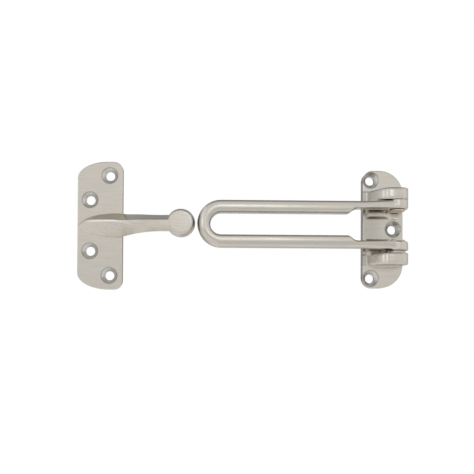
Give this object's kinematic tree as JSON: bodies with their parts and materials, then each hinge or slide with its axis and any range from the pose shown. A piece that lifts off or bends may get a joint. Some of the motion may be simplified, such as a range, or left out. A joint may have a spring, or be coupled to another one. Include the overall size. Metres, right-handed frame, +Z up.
{
  "type": "door guard",
  "caption": "Swing bar door guard: a slotted loop hinged on pins to a screw-on plate, and a plate with a ball stud that the slot catches.",
  "frame": {"origin": "centre of the hinge plate's back face", "axes": "+Z is up the door, +X runs from the stud plate to the hinge plate, +Y into the door, so the front faces -Y"},
  "size_m": [0.203, 0.0178, 0.0795],
  "materials": {
    "satin_nickel": "satin nickel plated casting, brushed",
    "satin_nickel_bar": "satin nickel plated casting, brushed along the loop",
    "satin_nickel_stud": "satin nickel plated casting, brushed",
    "pin_brass": "bare turned brass, slightly tarnished",
    "washer_steel": "plain nickel plated"
  },
  "bodies": {
    "plates": {"hinge_plate": "satin_nickel", "stud_plate": "satin_nickel_stud", "upper_pin": "pin_brass", "lower_pin": "pin_brass", "lower_washer": "washer_steel"},
    "bar": {"swing_bar": "satin_nickel_bar"}
  },
  "joints": [
    {"name": "bar_swing", "type": "hinge", "parent": "plates", "child": "bar", "pos_m": [0.00705, -0.0114, 0], "axis": [0, 0, 1], "range_deg": [0, 180]}
  ]
}
